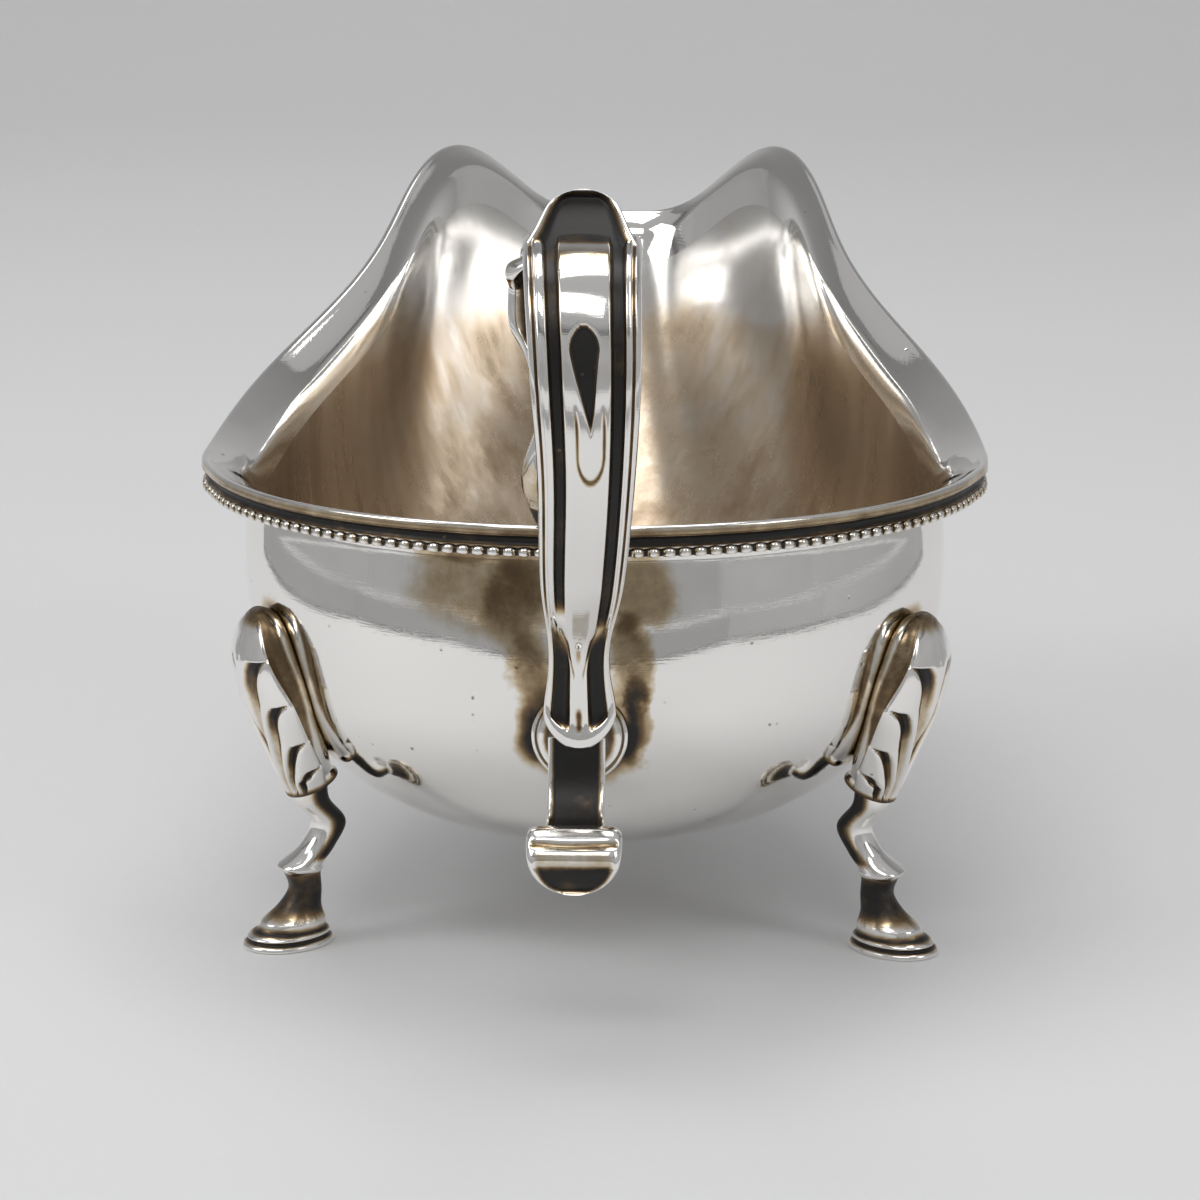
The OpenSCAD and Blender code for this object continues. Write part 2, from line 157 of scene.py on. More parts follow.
def wallPoint(u, p):           # u is 0 at the lowest place, 1 at the neck, 2 at the edge
    u, p = np.broadcast_arrays(np.asarray(u, float), np.asarray(p, float))
    s, c, w = np.sin(p), np.cos(p), flangeWidth(p)
    neck = byRim(p, -w, -wall["flangeHeight"])
    low = np.stack([0 * s, 0 * s + wall["middleY"], 0 * s + wall["lowZ"]], -1)
    floor = np.stack([wall["floorHalfWidth"] * s, backToFront(wall["floorRear"], wall["floorFront"], p) * c,
                      0 * s + wall["lowZ"]], -1)
    swell = np.stack([wall["swellHalfWidth"] * s, backToFront(wall["swellRear"], wall["swellFront"], p) * c,
                      wall["swellZ"] + wall["swellFrontRise"] * ahead(p) ** 2], -1)
    t = np.minimum(u, 1)[..., None]
    body = low * (1 - t) ** 3 + 3 * floor * t * (1 - t) ** 2 + 3 * swell * t ** 2 * (1 - t) + neck * t ** 3
    t = np.maximum(u - 1, 0)[..., None]
    turned = (neck * (1 - t) ** 2 + 2 * byRim(p, -w, -0.5 * wall["flangeHeight"]) * t * (1 - t)
              + byRim(p, -0.2, -wall["sheet"]) * t ** 2)
    return np.where((u < 1)[..., None], body, turned)


def wallNormal(u, p):
    return unit(np.cross(wallPoint(np.minimum(u + 0.01, 2), p) - wallPoint(np.maximum(u - 0.01, 0), p),
                         wallPoint(u, p + 0.004) - wallPoint(u, p - 0.004)))


def wallDistance(p, z):        # distance of the bowl's outside from the axis
    line = wallPoint(np.linspace(0.2, 1, 161), np.full(161, p))
    return float(np.interp(z, line[:, 2], np.hypot(line[:, 0], line[:, 1])))


# making pieces

def link(thing):
    bpy.context.scene.collection.objects.link(thing)


def finishPiece(name, mesh, nodes, materials):
    piece = bpy.data.objects.new(name, mesh)
    link(piece)
    for material in materials:
        mesh.materials.append(material)
    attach(piece, "root")
    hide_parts(*nodes)


def ringMesh(name, rings, recess, loop=False, ends=None, materialOfRow=None):
    count, size = rings.shape[:2]
    verts = [tuple(v) for v in rings.reshape(-1, 3)]
    rows = count if loop else count - 1
    faces, kinds = [], []
    materialOfRow = materialOfRow or [0] * rows
    for r in range(rows):
        a, b = r * size, ((r + 1) % count) * size
        for i in range(size):
            j = (i + 1) % size
            faces.append((a + i, a + j, b + j, b + i))
            kinds.append(materialOfRow[r])
    if not loop:
        tips = ends or (rings[0].mean(0), rings[-1].mean(0))
        for tip, start, row in ((tips[0], 0, 0), (tips[1], (count - 1) * size, rows - 1)):
            verts.append(tuple(tip))
            for i in range(size):
                faces.append((start + i, start + (i + 1) % size, len(verts) - 1))
                kinds.append(materialOfRow[row])
    placed = [(x * mm, (y + shiftY) * mm, z * mm) for x, y, z in verts]
    mesh = bpy.data.meshes.new(name)
    mesh.from_pydata(placed, [], faces)
    mesh.polygons.foreach_set("material_index", kinds)
    flat = np.zeros(len(verts))        # how much tarnish and painted shade each point holds
    flat[:count * size] = np.broadcast_to(recess, (count, size)).reshape(-1)
    if not loop:
        flat[count * size] = flat[0]
        flat[count * size + 1] = flat[count * size - 1]
    mesh.attributes.new("recess", "FLOAT", "POINT").data.foreach_set("value", flat)
    return closeMesh(mesh)


def closeMesh(mesh):           # merge doubles, point the faces outwards, shade smooth
    work = bmesh.new()
    work.from_mesh(mesh)
    bmesh.ops.remove_doubles(work, verts=work.verts, dist=1e-7)
    bmesh.ops.recalc_face_normals(work, faces=work.faces)
    work.to_mesh(mesh)
    work.free()
    mesh.shade_smooth()
    mesh.update()
    return mesh


def ringPiece(name, rings, recess, node, material, loop=False):
    finishPiece(name, ringMesh(name, rings, recess, loop), [node], [material])


# materials: maths is written on sockets

class Signal:
    def __init__(self, bench, socket):
        self.bench, self.socket = bench, socket

    def join(self, operation, first, second):
        return self.bench.node("ShaderNodeMath", {"operation": operation}, {0: first, 1: second})

    def __add__(self, other):
        return self.join("ADD", self, other)

    __radd__ = __add__

    def __sub__(self, other):
        return self.join("SUBTRACT", self, other)

    def __rsub__(self, other):
        return self.join("SUBTRACT", other, self)

    def __mul__(self, other):
        return self.join("MULTIPLY", self, other)

    __rmul__ = __mul__

    def __truediv__(self, other):
        return self.join("DIVIDE", self, other)

    def __rtruediv__(self, other):
        return self.join("DIVIDE", other, self)


class Bench:
    def __init__(self, name):
        self.material = bpy.data.materials.new(name)
        self.material.use_nodes = True
        self.tree = self.material.node_tree
        self.shader = self.tree.nodes["Principled BSDF"]

    def node(self, kind, settings=None, values=None, out=0):
        made = self.tree.nodes.new(kind)
        for key, value in (settings or {}).items():
            setattr(made, key, value)
        for key, value in (values or {}).items():
            self.feed(made.inputs[key], value)
        return Signal(self, made.outputs[out])

    def feed(self, socket, value):
        if isinstance(value, Signal):
            self.tree.links.new(value.socket, socket)
        else:
            isColour = isinstance(value, tuple) and socket.type == "RGBA"
            socket.default_value = (*value, 1) if isColour else value

    def set(self, **values):
        for key, value in values.items():
            self.feed(self.shader.inputs[key.replace("_", " ")], value)
        return self.material

    def place(self):
        return self.node("ShaderNodeTexCoord", out="Object")

    def split(self, vector):
        parts = self.node("ShaderNodeSeparateXYZ", {}, {"Vector": vector}).socket.node
        return [Signal(self, parts.outputs[axis]) for axis in "XYZ"]

    def stretch(self, vector, factors):
        return self.node("ShaderNodeVectorMath", {"operation": "MULTIPLY"}, {0: vector, 1: factors})

    def noise(self, vector, scale, detail=4.0, rough=0.55, distortion=0.0):
        return self.node("ShaderNodeTexNoise", {}, {"Vector": vector, "Scale": scale, "Detail": detail,
                                                    "Roughness": rough, "Distortion": distortion})

    def step(self, signal, low, high):
        return self.node("ShaderNodeMapRange", {"interpolation_type": "SMOOTHSTEP"},
                         {"Value": signal, "From Min": low, "From Max": high})

    def blend(self, factor, first, second):
        return self.node("ShaderNodeMix", {"data_type": "RGBA"}, {0: factor, 6: first, 7: second}, out=2)

    def mark(self, name):
        return self.node("ShaderNodeAttribute", {"attribute_name": name}, out="Fac")

    def bump(self, height, distance, strength=1.0, normal=None):
        values = {"Height": height, "Distance": distance, "Strength": strength}
        if normal is not None:
            values["Normal"] = normal
        return self.node("ShaderNodeBump", {}, values)


silverTones = {
    "polished": (0.93, 0.915, 0.885),
    "yellowed": (0.60, 0.48, 0.31),
    "brown": (0.20, 0.135, 0.075),
    "black": (0.02, 0.0185, 0.0175),
}


def silverFinish(name, recess, cloud, rough, waves, extra=None):
    b = Bench(name)
    at = b.place()
    broad = b.noise(at, 95, 5, 0.6)
    small = b.noise(at, 620, 6, 0.65)
    patchy = b.noise(at, 170, 3, 0.6)
    # the recess mark holds tarnish in the hollows, and painted shade on the shell lobes and on the strap
    # below the thumb leaf
    grimeAndShade = b.mark("recess") * recess * (0.7 + patchy * 0.72)
    if extra is not None:
        grimeAndShade = grimeAndShade + extra(b, at, broad)
    level = grimeAndShade + (broad - 0.5) * cloud + (small - 0.5) * (cloud * 1.1)
    yellow = b.step(level, 0.12, 0.5)
    brown = b.step(level, 0.38, 0.72)
    dark = b.step(level, 0.62, 1.0)
    # scattered pits and specks
    cells = b.node("ShaderNodeTexVoronoi", {}, {"Vector": at, "Scale": 620.0}, out="Distance")
    seed = b.noise(at, 240, 2, 0.5)
    specks = (1 - b.step(cells, 0.05, 0.16)) * b.step(seed, 0.60, 0.66)
    base = b.blend(yellow, silverTones["polished"], silverTones["yellowed"])
    base = b.blend(brown, base, silverTones["brown"])
    base = b.blend(dark, base, silverTones["black"])
    base = b.blend(specks * 0.75, base, silverTones["brown"])
    smudge = b.noise(at, 48, 5, 0.62, 0.6)
    roughness = rough + b.step(smudge, 0.46, 0.74) * 0.06 + brown * 0.16 + dark * 0.12
    metal = 1 - dark * 0.55
    # hand-raised waviness, fine scratches both ways, pits
    swellNoise = b.noise(at, 55, 2, 0.4)
    normal = b.bump(swellNoise, waves * mm * 4, 1.0)
    across = b.noise(b.stretch(at, (1.0, 1.0, 14.0)), 420, 3, 0.6)
    along = b.noise(b.stretch(at, (16.0, 1.0, 1.0)), 330, 3, 0.6, 0.4)
    normal = b.bump(across + along, 0.0045 * mm, 0.8, normal)
    normal = b.bump(small * (brown * 0.8 + 0.05) - specks * 1.4, 0.035 * mm, 0.8, normal)
    return b.set(Base_Color=base, Roughness=roughness, Metallic=metal, Normal=normal)


bowlStainSpots = [             # x, z, half width, half height, strength
    (-9.0, 40.5, 10.0, 7.0, 0.44), (-5.2, 38.5, 4.2, 8.0, 0.24),
    (-5.0, 29.5, 3.2, 8.0, 0.50), (-0.3, 26.0, 6.6, 6.6, 0.40),
    (5.4, 40.0, 4.6, 5.0, 0.50), (4.5, 33.5, 3.0, 5.0, 0.55),
    (4.4, 28.0, 2.0, 6.0, 0.42), (-12.5, 44.0, 6.0, 2.2, 0.22),
]


def bowlStains(b, at, broad):  # tarnish left where a cloth can't reach, beside the handle
    x, y, z = b.split(at)
    warp = (broad - 0.5) * 0.008
    total = None
    for cx, cz, wide, high, strong in bowlStainSpots:
        dx, dz = (x - cx * mm + warp) / (wide * mm), (z - cz * mm - warp) / (high * mm)
        spot = b.step(dx * dx + dz * dz, 1.0, 0.12) * strong
        total = spot if total is None else total + spot
    rear = b.step(y, -0.030, -0.040)
    return total * rear


innerLook = {                  # colours; where the tan stops, thickens and gathers, in metres
    "clean": (0.68, 0.665, 0.645), "tan": (0.52, 0.43, 0.325), "brown": (0.24, 0.165, 0.10),
    "tide": (0.047, 0.052), "spoutFrom": (-0.01, 0.012), "floor": (0.044, 0.020), "ends": (0.00045, 0.00105),
}


def innerFinish(name):         # inside of the bowl: tanned silver with standing streaks
    b = Bench(name)
    at = b.place()
    broad = b.noise(at, 38, 4, 0.55, 0.5)
    streak = b.noise(b.stretch(at, (1.0, 1.0, 0.09)), 300, 4, 0.6, 0.2)
    small = b.noise(at, 700, 5, 0.6)
    x, y, z = b.split(at)
    tide = z + (broad - 0.5) * 0.014             # the tan stops where the sauce stood
    spout = b.step(tide, *innerLook["tide"]) * b.step(y, *innerLook["spoutFrom"])
    low = b.step(tide, *innerLook["floor"])
    ends = b.step(x * x, *innerLook["ends"])
    level = (broad - 0.5) * 1.2 + (streak - 0.5) * 0.9 + low * 0.22 + ends * 0.22 + 0.6 - spout * 0.56
    tan = b.step(level, 0.1, 0.75)
    brown = b.step(level, 0.55, 1.15)
    base = b.blend(tan, innerLook["clean"], innerLook["tan"])
    base = b.blend(brown, base, innerLook["brown"])
    roughness = 0.17 + tan * 0.05 + brown * 0.14 + (small - 0.5) * 0.06
    swellNoise = b.noise(at, 70, 2, 0.4)
    normal = b.bump(swellNoise, 0.16 * mm, 1.0)
    normal = b.bump(streak, 0.012 * mm, 0.7, normal)
    normal = b.bump(small, 0.006 * mm, 0.8, normal)
    return b.set(Base_Color=base, Roughness=roughness, Metallic=1.0 - brown * 0.15, Normal=normal)


outerSilver = silverFinish("raisedSilver", recess=0.95, cloud=0.26, rough=0.04, waves=0.05, extra=bowlStains)
innerSilver = innerFinish("tannedSilver")
borderSilver = silverFinish("borderSilver", recess=1.0, cloud=0.5, rough=0.12, waves=0.0)
castSilver = silverFinish("castSilver", recess=1.0, cloud=0.42, rough=0.11, waves=0.012)
handleSilver = silverFinish("handleSilver", recess=1.0, cloud=0.34, rough=0.085, waves=0.01)
print("materials made")


# bowl

bowlDetail = {"around": 360, "bodyRows": 54, "flangeRows": 16, "contactReach": 0.95, "easing": 30,
              "lipGrime": (0.7, 0.75, 0.7, 0.62, 0.5, 0.3, 0.1)}


def bowlRings():
    p = roundAngles(bowlDetail["around"])
    body = np.linspace(0, 1, bowlDetail["bodyRows"] + 1)[1:] ** 0.85
    us = np.concatenate([body, np.linspace(1, 2, bowlDetail["flangeRows"] + 1)[1:]])
    outside = np.stack([wallPoint(u, p) for u in us])
    inside = np.stack([wallPoint(u, p) - wall["sheet"] * wallNormal(u, p) for u in us])[::-1]
    near = np.exp(-((us[::-1] - 1.05) / 0.3) ** 2)[1:-1, None, None]       # ease the bend at the neck
    for _ in range(bowlDetail["easing"]):
        middle = 0.5 * (inside[:-2] + inside[2:])
        inside[1:-1] += 0.5 * near * (middle - inside[1:-1])
    lip = [(-0.06, -0.78), (-0.05, -0.5), (-0.09, -0.22), (-0.22, -0.04), (-0.45, 0.0), (-0.75, -0.06)]
    edge = np.stack([byRim(p, out, up) for out, up in lip])
    return p, us, outside, edge, inside[1:]


p, us, outside, edge, inside = bowlRings()
rings = np.concatenate([outside, edge, inside])
poles = [np.array([0, wall["middleY"], wall["lowZ"] + up]) for up in (0, wall["sheet"])]
insideBody = len(rings) - bowlDetail["bodyRows"]
rowKinds = [1 if r >= insideBody else 0 for r in range(len(rings) - 1)]
outsideTree = BVHTree.FromPolygons(
    [tuple(v) for v in outside.reshape(-1, 3)],
    [(r + i, r + (i + 1) % len(p), r + len(p) + (i + 1) % len(p), r + len(p) + i)
     for r in range(0, (len(outside) - 1) * len(p), len(p)) for i in range(len(p))])


def distanceToWall(points):    # how far each point stands outside the bowl, along the plan's radius
    gaps = np.full(len(points), 1e3)
    for k, (x, y, z) in enumerate(points):
        reach = math.hypot(x, y)
        hit = outsideTree.ray_cast(Vector((0, 0, z)), Vector((x / reach, y / reach, 0)))
        if hit[0] is not None:
            gaps[k] = reach - hit[3]
    return gaps


def settleOnWall(rings, depth=0.45):   # nothing behind the sheet: press what lies deeper back into it
    flat = rings.reshape(-1, 3).copy()
    gaps = distanceToWall(flat)
    deep = gaps < -depth
    reach = np.hypot(flat[deep, 0], flat[deep, 1])
    scale = (reach - gaps[deep] - depth) / reach
    flat[deep, 0] *= scale
    flat[deep, 1] *= scale
    return flat.reshape(rings.shape), np.maximum(gaps, -depth).reshape(rings.shape[:2])


contactPoints = []             # filled by what is soldered to the bowl


# handle

handle = {
    "reach": 19.4, "rise": 28.0, "topWidth": 10.3, "neckWidth": 5.5, "collarWidth": 6.6, "thickness": 2.6,
    "bow": 1.1, "bossShift": 0.3,
    "scrollLeafWidth": 9.0, "scrollWaistWidth": 4.0, "scrollThickness": 2.4, "scrollShift": 1.8,
    "leafHeight": 3.7, "leafWidth": 10.4, "leafThickness": 1.5,
    "bossZ": 26.6, "bossDiameter": 9.0, "standOff": 6.2, "bossRoot": 2.0,
    "tailWidth": 5.2, "tailThickness": 1.2, "tailDrop": 6.6, "rollWidth": 8.6, "rollHeight": 5.4,
}
backY = -rim["rearReach"]
backZ = rim["height"] + rim["rearRise"]
topZ = backZ + handle["rise"]
farY = backY - handle["reach"] + handle["thickness"] / 2
bossY = -wallDistance(math.pi, handle["bossZ"])
endY = bossY - handle["standOff"] - handle["thickness"] / 2
endZ = handle["bossZ"] + 1.6


def strapStations():           # y, z, width, thickness, x
    w, t, neck, bow = handle["topWidth"], handle["thickness"], handle["neckWidth"], handle["bow"]
    return [
        [mix(backY, farY, 0.16), topZ - t / 2 - 2.2, w * 0.92, t, bow * 0.35],
        [mix(backY, farY, 0.48), topZ - t / 2, w, t, bow * 0.45],
        [mix(backY, farY, 0.84), mix(backZ, topZ, 0.87), w * 0.97, t, bow * 0.7],
        [farY, mix(backZ, topZ, 0.62), w * 0.92, t, bow],
        [mix(backY, farY, 0.88), mix(backZ, topZ, 0.3), w * 0.82, t, bow],
        [mix(endY, farY, 0.45), mix(endZ, backZ, 0.88), mix(neck, w, 0.42), t, bow * 0.45],
        [mix(endY, farY, 0.12), mix(endZ, backZ, 0.46), neck, t, 0],
        [endY, endZ, handle["collarWidth"], t * 1.1, 0]]


def headings(line):
    return unit(np.gradient(line[:, :2], axis=0))


def barRings(line, faceOf, sidesOuter, sidesInner):
    # the outer face from -1 to 1 across, then the inner face back again
    wOut = np.sin(np.linspace(-math.pi / 2, math.pi / 2, sidesOuter))
    wIn = np.sin(np.linspace(math.pi / 2, -math.pi / 2, sidesInner + 2))[1:-1]
    w = np.concatenate([wOut, wIn])
    isOut = np.arange(len(w)) < len(wOut)
    s = np.linspace(0, 1, len(line))[:, None]
    face, lift, marks = faceOf(w[None, :], s, isOut[None, :], line)
    h = headings(line)
    side = 0.5 * line[:, 2:3] * w[None, :]
    y = line[:, 0:1] - face * h[:, 1:2]
    z = line[:, 1:2] + face * h[:, 0:1] + lift
    return np.stack([side + line[:, 4:5], y, z], -1), marks


strapRelief = {                # places across are shares of the half width, depths in mm
    "grooveLeft": (0.53, 0.105), "grooveRight": (0.60, 0.115), "grooveDepth": 0.6,
    "lineAt": 0.87, "lineHalf": 0.045, "lineDepth": 0.28,
    "panelCrown": 0.22, "bandBulge": 0.1,
    "tongueTop": 0.358, "tongueWide": 0.394, "tongueEnd": 0.512, "tongueHalf": 0.29, "tongueDepth": 0.4,
    "tongueTilt": 0.09, "borderEnd": 0.574, "borderRound": 0.036, "borderHalf": 0.26, "borderDepth": 0.14,
    "fadeLeft": (0.745, 0.785), "fadeRight": (0.775, 0.83), "fluteStart": (0.80, 0.875), "fluteDepth": 0.5,
    "collarFrom": 0.968, "collarBulge": 0.28, "collarArc": 2.6, "leafShadow": (0.19, 0.215),
}


def plateau(t, middle, half, soft=0.35):
    return 1 - ramp(half * (1 - soft), half * (1 + soft), np.abs(t - middle))


def strapFace(w, s, isOut, line):
    r = strapRelief
    aw = np.abs(w)
    half = 0.5 * line[:, 3:4]
    edge = (1 - np.clip(aw, 0, 1) ** 9) ** 0.4
    left = plateau(-w, *r["grooveLeft"]) * (1 - ramp(*r["fadeLeft"], s))
    right = plateau(w, *r["grooveRight"]) * (1 - ramp(*r["fadeRight"], s))
    grooves = (left + right) * ramp(0.1, 0.15, s)
    lines = hump(aw, r["lineAt"], r["lineHalf"]) * (1 - ramp(0.72, 0.84, s))
    crown = np.clip(aw / 0.5, 0, 1) ** 2 * (aw < 0.8)
    band = hump(aw, 0.74, 0.14)
    # dark tongue with a round head, inside a border line that ends in a U
    top, wide, end = r["tongueTop"], r["tongueWide"], r["tongueEnd"]
    lean = r["tongueTilt"] * ramp(wide, end, s)
    tw = np.abs(w - lean)
    head = np.sqrt(np.clip(1 - ((s - wide) / (wide - top)) ** 2, 0, 1)) * (s <= wide)
    taper = np.clip((end - s) / (end - wide), 0, 1) ** 0.8 * (s > wide)
    tongueHalf = r["tongueHalf"] * np.maximum(head, taper)
    tongue = ramp(0, 0.07, tongueHalf - tw) * (tongueHalf > 0.01)
    below = np.maximum(s - (r["borderEnd"] - r["borderRound"]), 0) * r["borderHalf"] / r["borderRound"]
    rimLine = hump(np.hypot(tw, below), r["borderHalf"], 0.06) * ramp(0.46, 0.5, s)
    # lower end: the grooves close to V lines, two flutes and a short middle one, then the collar
    closing = (s - 0.8) / 0.085
    vLines = hump(aw, 0.55 - 0.4 * np.clip(closing, 0, 1), 0.06)
    vLines = vLines * ramp(0.79, 0.81, s) * (1 - ramp(0.88, 0.9, s))
    start = s + 0.045 * np.clip((aw - 0.3) / 0.5, 0, 1)
    flutes = plateau(aw, 0.56, 0.25, 0.3) * ramp(*r["fluteStart"], start)
    middle = hump(aw, 0, 0.17) * np.maximum(0.9 * ramp(0.925, 0.945, s), 0.6 * hump(s, 0.85, 0.03))
    collar = ramp(r["collarFrom"] - 0.006, r["collarFrom"] + 0.004, s)
    roll = ramp(0.95, 0.985, s)
    depth = (grooves * r["grooveDepth"] + lines * r["lineDepth"]
             + crown * r["panelCrown"] - band * r["bandBulge"]
             + tongue * r["tongueDepth"] + rimLine * r["borderDepth"] + vLines * 0.16
             + flutes * r["fluteDepth"] + middle * 0.3) * (1 - collar)
    outer = -half * edge + depth * edge - roll * r["collarBulge"] * edge
    inner = half * edge * 0.92
    lift = ramp(0.86, 0.99, s) * r["collarArc"] * aw ** 2.2
    shown = 1 - collar
    # painted shadow: a dark band across the top of the strap, just below the thumb leaf
    leafShadow = (1 - ramp(*r["leafShadow"], s + 0.035 * aw ** 2)) * (aw < 0.8)
    # the chased grooves, lines and tongue hold tarnish; the band below the leaf is painted shadow
    stain = np.maximum.reduce([
        0.93 * grooves, 0.78 * lines, 1.02 * tongue, 0.7 * rimLine, 0.55 * vLines, 0.98 * flutes * shown,
        0.8 * middle * shown, 0.4 * hump(s, 0.235, 0.05) * (aw < 0.46), 0.9 * leafShadow])
    recess = np.where(isOut, np.clip(stain, 0, 1), 0.35 + 0.2 * (1 - aw))
    return np.where(isOut, outer, inner), lift, recess


strapLine = smoothLine(strapStations(), 36)
strapRings, strapRecess = barRings(strapLine, strapFace, 161, 22)
ringPiece("outerStrap", strapRings, strapRecess, "handle_strap", handleSilver)
print("strap made")


def scrollFace(w, s, isOut, line):
    aw = np.abs(w)
    half = 0.5 * line[:, 3:4]
    edge = (1 - aw ** 7) ** 0.45
    leaf = 1 - ramp(0.47, 0.52, s)
    hollow = leaf * (1 - ramp(0.62, 0.9, aw)) * ramp(0.02, 0.08, s)
    lower = hump(s, 0.46, 0.05) * (1 - aw ** 4)
    scoop = hump(s, 0.585, 0.045) * (1 - ramp(0.4, 0.85, aw))
    ribs = 0.5 + 0.5 * np.cos(aw * math.pi * 5)
    neck = ramp(0.83, 0.87, s)
    bulb = ramp(0.68, 0.73, s) * (1 - neck)
    depth = hollow * 0.9 + scoop * 0.5 + ribs * 0.14 * bulb
    outer = -half * edge + depth * edge
    inner = half * edge - ribs * 0.15 * leaf * edge
    stain = np.maximum.reduce([hollow * 1.05 * (1 - lower), scoop * 0.95, neck + 0 * w, 0.35 * bulb + 0 * w,
                               0.3 * lower])
    recess = np.clip(np.where(isOut, stain, 0.3 + 0.5 * neck), 0, 1)
    return np.where(isOut, outer, inner), 0 * w * s, recess


def makeScroll():
    w, t, top = handle["scrollLeafWidth"], handle["scrollThickness"], strapStations()[0]
    waist, x = handle["scrollWaistWidth"], -handle["scrollShift"]
    stations = [
        [top[0] - 3.4, top[1] + 0.9, w * 0.7, t * 0.7, x + 0.6],
        [top[0] - 2.2, top[1] - 0.4, w, t, x],
        [top[0] + 0.9, mix(backZ, topZ, 0.8), w, t, x],
        [mix(backY, farY, 0.12), mix(backZ, topZ, 0.67), w * 0.98, t, x],
        [mix(backY, farY, 0.16), mix(backZ, topZ, 0.56), w * 0.64, t, x],
        [mix(backY, farY, 0.2), mix(backZ, topZ, 0.38), waist, t, x],
        [mix(backY, farY, 0.14), mix(backZ, topZ, 0.2), waist * 1.7, t * 1.5, x],
        [backY - 0.4, mix(backZ, topZ, 0.08), waist * 1.4, t * 1.2, x],
        [backY + 1.2, backZ - 0.6, waist * 0.9, t, x]]
    rings, recess = barRings(smoothLine(stations, 20), scrollFace, 61, 31)
    ringPiece("innerScroll", rings, recess, "inner_scroll", castSilver)


makeScroll()


def makeLeaf():                # hollow triangular thumb rest with a thin bright edge
    t, tall, at = handle["leafThickness"], handle["leafHeight"], strapStations()[1]
    stations = [
        [at[0] - 2.2, topZ - 1.3, 0, 0, 0],
        [at[0] - 0.8, topZ + 0.02 * tall, 0, 0, 0],
        [at[0] + 1.4, topZ + 0.55 * tall, 0, 0, 0],
        [at[0] + 2.4, topZ + tall - t / 4 - 0.1, 0, 0, 0]]
    line = smoothLine(stations, 24)
    v = np.linspace(0, 1, len(line))[:, None]
    closing = np.clip((1.001 - v) / 0.32, 0, 1)
    shape = (1 - 0.7 * np.clip(v - 0.12, 0, 1)) * (1 - (1 - closing) ** 2.2) ** 0.5
    halfWidth = handle["leafWidth"] / 2 * np.maximum(shape, 0.02)
    h = headings(line)
    angles = roundAngles(96)
    w = (np.sign(np.cos(angles)) * np.abs(np.cos(angles)) ** 0.8)[None, :]
    front = (np.sin(angles) > 0)[None, :]      # the face towards the back and the sky
    aw = np.abs(w)
    hollow = (1 - ramp(0.62, 0.97, aw)) * (1 - ramp(0.86, 0.97, v))
    thin = t * 0.5 * (1 - 0.5 * v)
    face = np.where(front, thin - 0.85 * hollow, -thin - 0.15 * hollow) * (1 - aw ** 10) ** 0.5
    sweep = 0.7 * aw ** 3 * (1 - v)
    y = line[:, 0:1] + face * h[:, 1:2] * -1 - sweep
    z = line[:, 1:2] + face * h[:, 0:1] - 0.35 * aw ** 4 * (1 - v)
    recess = np.where(front, np.clip(hollow * 1.3, 0, 1), 0.2)
    rings = np.stack([halfWidth * w + at[4], y, z], -1)
    ringPiece("thumbLeaf", rings, recess, "thumb_leaf", castSilver)


makeLeaf()


def makeBoss():                # turned boss with a bright edge, soldered to the bowl
    r = handle["bossDiameter"] / 2
    root = handle["bossRoot"]
    profile = smoothLine([     # radius, height along the turned axis
        [r - 0.5, root - 1.6], [r - 0.06, root - 0.6], [r, root + 0.3], [r - 0.25, root + 0.75],
        [r - 0.7, root + 0.7], [r - 1.2, root + 1.0], [r - 1.9, root + 1.9], [r - 2.25, root + 3.2],
        [r - 2.2, root + handle["standOff"] - 0.4]], 7)
    angles = roundAngles(96)
    rings = np.stack([np.stack([q[0] * np.cos(angles) - handle["bossShift"], 0 * angles + bossY + root - q[1],
                                handle["bossZ"] + q[0] * np.sin(angles)], -1) for q in profile])
    rings, gaps = settleOnWall(rings)
    recess = np.clip(1 - gaps / 0.8, 0, 1) * 0.9
    recess = np.maximum(recess, ramp(root + 0.55, root + 1.4, profile[:, 1])[:, None] * 0.8)
    contactPoints.extend(rings[:12].reshape(-1, 3)[::3])
    ringPiece("handleBoss", rings, recess, "handle_boss", castSilver)


makeBoss()


def tailFace(w, s, isOut, line):
    aw = np.abs(w)
    half = 0.5 * line[:, 3:4]
    edge = (1 - aw ** 10) ** 0.4
    dish = 1 - ramp(0.72, 0.95, aw)
    outer = -half * edge + 0.28 * dish * edge
    recess = np.clip(np.where(isOut, dish * 1.02, 0.5) + 0 * s, 0, 1)
    return np.where(isOut, outer, half * edge), 0 * w * s, recess


def makeTail():
    x = -handle["bossShift"]
    z, drop, w, t = handle["bossZ"], handle["tailDrop"], handle["tailWidth"], handle["tailThickness"]
    stations = [
        [endY + 0.3, endZ + 0.2, w, t, x],
        [endY - 0.1, z - 0.3 * drop, w, t, x],
        [endY - 2.2, z - 0.75 * drop, w, t, x],
        [endY - 5.0, z - 0.9 * drop, w * 1.1, t, x]]
    rings, recess = barRings(smoothLine(stations, 18), tailFace, 41, 14)
    ringPiece("tailStrap", rings, recess, "handle_tail", castSilver)


makeTail()


